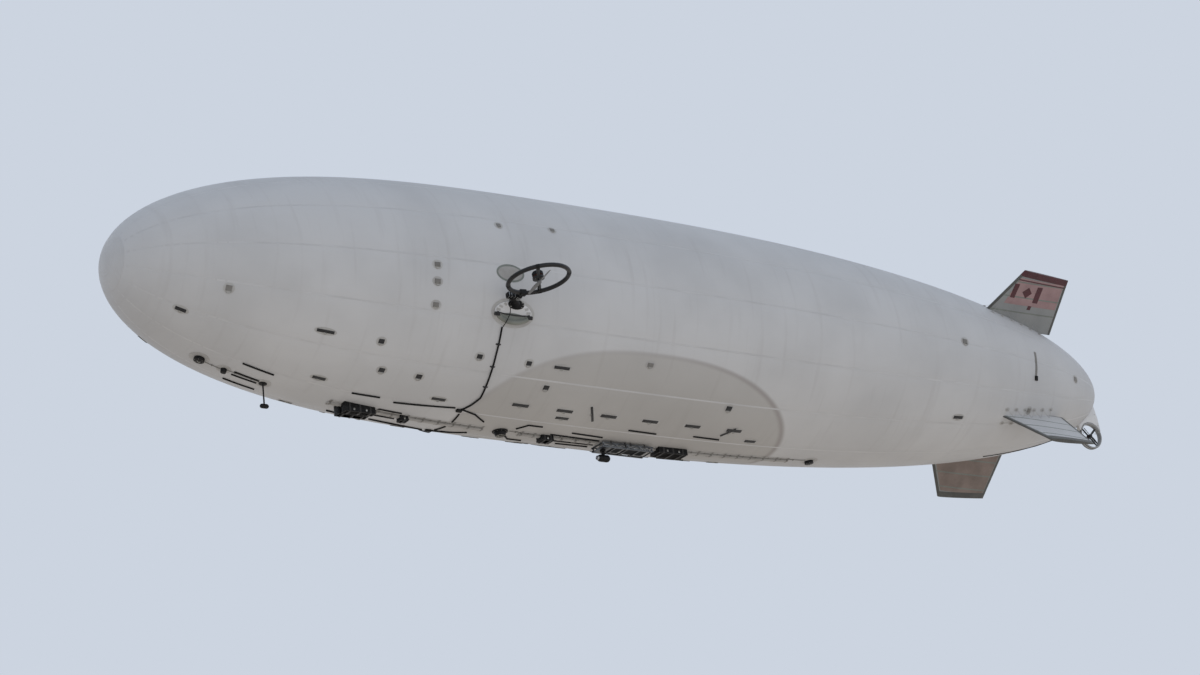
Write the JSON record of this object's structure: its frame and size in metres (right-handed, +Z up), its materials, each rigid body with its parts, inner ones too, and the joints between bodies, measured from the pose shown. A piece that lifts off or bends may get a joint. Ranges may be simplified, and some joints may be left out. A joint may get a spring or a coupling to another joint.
{
  "type": "unmanned helium airship",
  "caption": "Unmanned non-rigid airship with X tail fins, tilting ring-guarded side thrusters, a stern thruster and a payload frame with a camera under its belly.",
  "frame": {"origin": "on the envelope's axis, halfway between its nose and its tail, taken as the place where the air carries it", "axes": "+X to the nose, +Y to port, +Z up"},
  "size_m": [18.145, 5.7794, 3.9162],
  "materials": {
    "envelope_cloth": "smooth laminated gas cloth, light grey-white",
    "fin_cloth": "taut grey-green fin cloth with a dark red tip band",
    "white_shell": "white moulded shell, satin",
    "black_case": "black moulded case, fine grain",
    "carbon_tube": "black carbon tube under clear coat",
    "blade_grey": "grey moulded blade, satin",
    "webbing_grey": "grey cloth-covered load rail",
    "case_grey": "grey painted instrument case",
    "frame_aluminium": "mill-finish aluminium section"
  },
  "bodies": {
    "airframe": {"envelope": "envelope_cloth", "fin_upper_port": "fin_cloth", "fin_upper_starboard": "fin_cloth", "fin_lower_port": "fin_cloth", "fin_lower_starboard": "fin_cloth", "stern_pylon": "white_shell", "stern_duct": "case_grey", "stern_stator": "black_case", "port_thruster_pad": "white_shell", "port_thruster_arm": "black_case", "port_tilt_housing": "black_case", "port_power_cable": "black_case", "starboard_thruster_pad": "white_shell", "starboard_thruster_arm": "black_case", "starboard_tilt_housing": "black_case", "starboard_power_cable": "black_case", "keel_rail_forward": "webbing_grey", "keel_rail_aft": "webbing_grey", "battery_port": "black_case", "battery_starboard": "black_case", "junction_box": "black_case", "fan_controller": "black_case", "main_battery": "black_case", "ballonet_fan": "black_case", "payload_frame": "frame_aluminium", "payload_box_forward": "case_grey", "payload_box_aft": "case_grey", "camera_base": "black_case", "bow_line_block": "black_case", "aft_line_block": "black_case", "nose_sensor": "black_case", "forward_aerial": "black_case"},
    "port_thruster": {"port_tilt_hub": "black_case", "port_guard_ring": "carbon_tube", "port_motor_spar": "carbon_tube", "port_motor": "black_case"},
    "port_rotor": {"port_propeller": "blade_grey"},
    "starboard_thruster": {"starboard_tilt_hub": "black_case", "starboard_guard_ring": "carbon_tube", "starboard_motor_spar": "carbon_tube", "starboard_motor": "black_case"},
    "starboard_rotor": {"starboard_propeller": "blade_grey"},
    "stern_rotor": {"stern_propeller": "carbon_tube"},
    "camera": {"camera_head": "black_case"}
  },
  "joints": [
    {"name": "port_tilt", "type": "hinge", "parent": "airframe", "child": "port_thruster", "pos_m": [3.465, 2.42, -0.44], "axis": [0, 0.9952, 0.0976], "range_deg": [-95, 85]},
    {"name": "port_spin", "type": "hinge", "parent": "port_thruster", "child": "port_rotor", "pos_m": [3.465, 2.42, -0.44], "axis": [0.0872, -0.0972, 0.9914], "continuous": true},
    {"name": "starboard_tilt", "type": "hinge", "parent": "airframe", "child": "starboard_thruster", "pos_m": [3.465, -2.42, -0.44], "axis": [0, 0.9952, -0.0976], "range_deg": [-95, 85]},
    {"name": "starboard_spin", "type": "hinge", "parent": "starboard_thruster", "child": "starboard_rotor", "pos_m": [3.465, -2.42, -0.44], "axis": [0.0872, 0.0972, 0.9914], "continuous": true},
    {"name": "stern_spin", "type": "hinge", "parent": "airframe", "child": "stern_rotor", "pos_m": [-8.915, 0, -0.66], "axis": [0, 1, 0], "continuous": true},
    {"name": "camera_pan", "type": "hinge", "parent": "airframe", "child": "camera", "pos_m": [0.97, 0, -2.05], "axis": [0, 0, 1], "range_deg": [-170, 170]}
  ]
}
